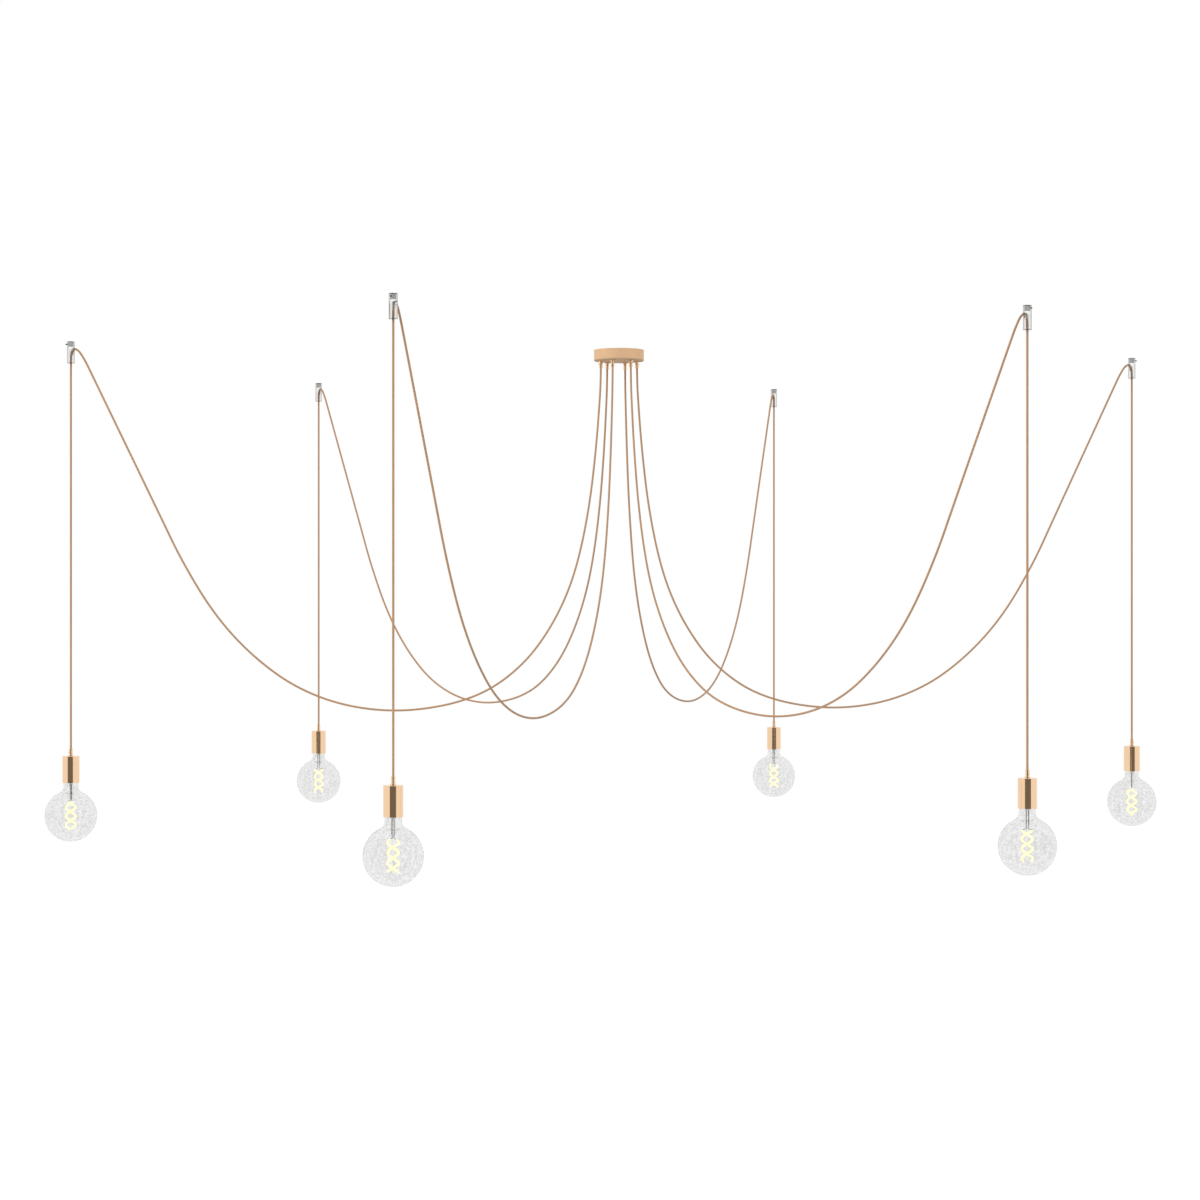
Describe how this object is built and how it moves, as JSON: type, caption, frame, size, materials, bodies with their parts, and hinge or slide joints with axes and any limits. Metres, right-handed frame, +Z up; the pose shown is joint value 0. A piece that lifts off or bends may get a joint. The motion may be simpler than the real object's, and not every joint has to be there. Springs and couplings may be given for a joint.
{
  "type": "cluster pendant light",
  "caption": "Swagged cluster pendant: a small round canopy, fabric cords looped over clear ceiling hooks, copper lamp holders and clear globe lamps with helical filaments.",
  "frame": {"origin": "on the ceiling at the middle of the canopy and of its two screw holes", "axes": "+Z up, square to the ceiling; +X towards the first hook and along the canopy's bracket"},
  "size_m": [2.825, 2.4632, 1.2125],
  "materials": {
    "satin_copper": "satin copper coat",
    "polished_copper": "polished copper plate",
    "copper_fabric": "braided fabric sheath",
    "zinc_steel": "zinc plated",
    "grey_metal": "turned, satin",
    "dark_steel": "blackened",
    "clear_plastic": "clear moulded",
    "white_nylon": "moulded",
    "white_ceramic": "glazed",
    "cap_metal": "rolled thread",
    "lamp_glass": "clear, crackled",
    "filament_glow": "glowing"
  },
  "bodies": {
    "ceiling_set": {"canopy_cup": "satin_copper", "mounting_bracket": "zinc_steel", "side_screws": "zinc_steel", "terminal_block": "white_nylon", "canopy_cord_grips": "polished_copper", "canopy_lock_nuts": "zinc_steel", "hook_bases": "grey_metal", "hook_bodies": "clear_plastic", "hook_set_screws": "dark_steel", "swag_cord_1": "copper_fabric", "swag_cord_2": "copper_fabric", "swag_cord_3": "copper_fabric", "swag_cord_4": "copper_fabric", "swag_cord_5": "copper_fabric", "swag_cord_6": "copper_fabric"},
    "pendant_1": {"drop_cord_1": "copper_fabric", "holder_grip_1": "polished_copper", "holder_shell_1": "polished_copper", "socket_insert_1": "white_ceramic"},
    "lamp_1": {"lamp_cap_1": "cap_metal", "lamp_glass_1": "lamp_glass", "filament_1": "filament_glow"},
    "pendant_2": {"drop_cord_2": "copper_fabric", "holder_grip_2": "polished_copper", "holder_shell_2": "polished_copper", "socket_insert_2": "white_ceramic"},
    "lamp_2": {"lamp_cap_2": "cap_metal", "lamp_glass_2": "lamp_glass", "filament_2": "filament_glow"},
    "pendant_3": {"drop_cord_3": "copper_fabric", "holder_grip_3": "polished_copper", "holder_shell_3": "polished_copper", "socket_insert_3": "white_ceramic"},
    "lamp_3": {"lamp_cap_3": "cap_metal", "lamp_glass_3": "lamp_glass", "filament_3": "filament_glow"},
    "pendant_4": {"drop_cord_4": "copper_fabric", "holder_grip_4": "polished_copper", "holder_shell_4": "polished_copper", "socket_insert_4": "white_ceramic"},
    "lamp_4": {"lamp_cap_4": "cap_metal", "lamp_glass_4": "lamp_glass", "filament_4": "filament_glow"},
    "pendant_5": {"drop_cord_5": "copper_fabric", "holder_grip_5": "polished_copper", "holder_shell_5": "polished_copper", "socket_insert_5": "white_ceramic"},
    "lamp_5": {"lamp_cap_5": "cap_metal", "lamp_glass_5": "lamp_glass", "filament_5": "filament_glow"},
    "pendant_6": {"drop_cord_6": "copper_fabric", "holder_grip_6": "polished_copper", "holder_shell_6": "polished_copper", "socket_insert_6": "white_ceramic"},
    "lamp_6": {"lamp_cap_6": "cap_metal", "lamp_glass_6": "lamp_glass", "filament_6": "filament_glow"}
  },
  "joints": [
    {"name": "swing_1", "type": "hinge", "parent": "ceiling_set", "child": "pendant_1", "pos_m": [1.35, 0, -0.053], "axis": [1, 0, 0], "range_deg": [-25, 25]},
    {"name": "lamp_release_1", "type": "slide", "parent": "pendant_1", "child": "lamp_1", "axis": [0, 0, -1], "range_m": [0, 0.035]},
    {"name": "swing_2", "type": "hinge", "parent": "ceiling_set", "child": "pendant_2", "pos_m": [0.675, 1.16913, -0.053], "axis": [0.5, 0.866, 0], "range_deg": [-25, 25]},
    {"name": "lamp_release_2", "type": "slide", "parent": "pendant_2", "child": "lamp_2", "axis": [0, 0, -1], "range_m": [0, 0.035]},
    {"name": "swing_3", "type": "hinge", "parent": "ceiling_set", "child": "pendant_3", "pos_m": [-0.675, 1.16913, -0.053], "axis": [-0.5, 0.866, 0], "range_deg": [-25, 25]},
    {"name": "lamp_release_3", "type": "slide", "parent": "pendant_3", "child": "lamp_3", "axis": [0, 0, -1], "range_m": [0, 0.035]},
    {"name": "swing_4", "type": "hinge", "parent": "ceiling_set", "child": "pendant_4", "pos_m": [-1.35, 0, -0.053], "axis": [-1, 0, 0], "range_deg": [-25, 25]},
    {"name": "lamp_release_4", "type": "slide", "parent": "pendant_4", "child": "lamp_4", "axis": [0, 0, -1], "range_m": [0, 0.035]},
    {"name": "swing_5", "type": "hinge", "parent": "ceiling_set", "child": "pendant_5", "pos_m": [-0.675, -1.16913, -0.053], "axis": [-0.5, -0.866, 0], "range_deg": [-25, 25]},
    {"name": "lamp_release_5", "type": "slide", "parent": "pendant_5", "child": "lamp_5", "axis": [0, 0, -1], "range_m": [0, 0.035]},
    {"name": "swing_6", "type": "hinge", "parent": "ceiling_set", "child": "pendant_6", "pos_m": [0.675, -1.16913, -0.053], "axis": [0.5, -0.866, 0], "range_deg": [-25, 25]},
    {"name": "lamp_release_6", "type": "slide", "parent": "pendant_6", "child": "lamp_6", "axis": [0, 0, -1], "range_m": [0, 0.035]}
  ]
}
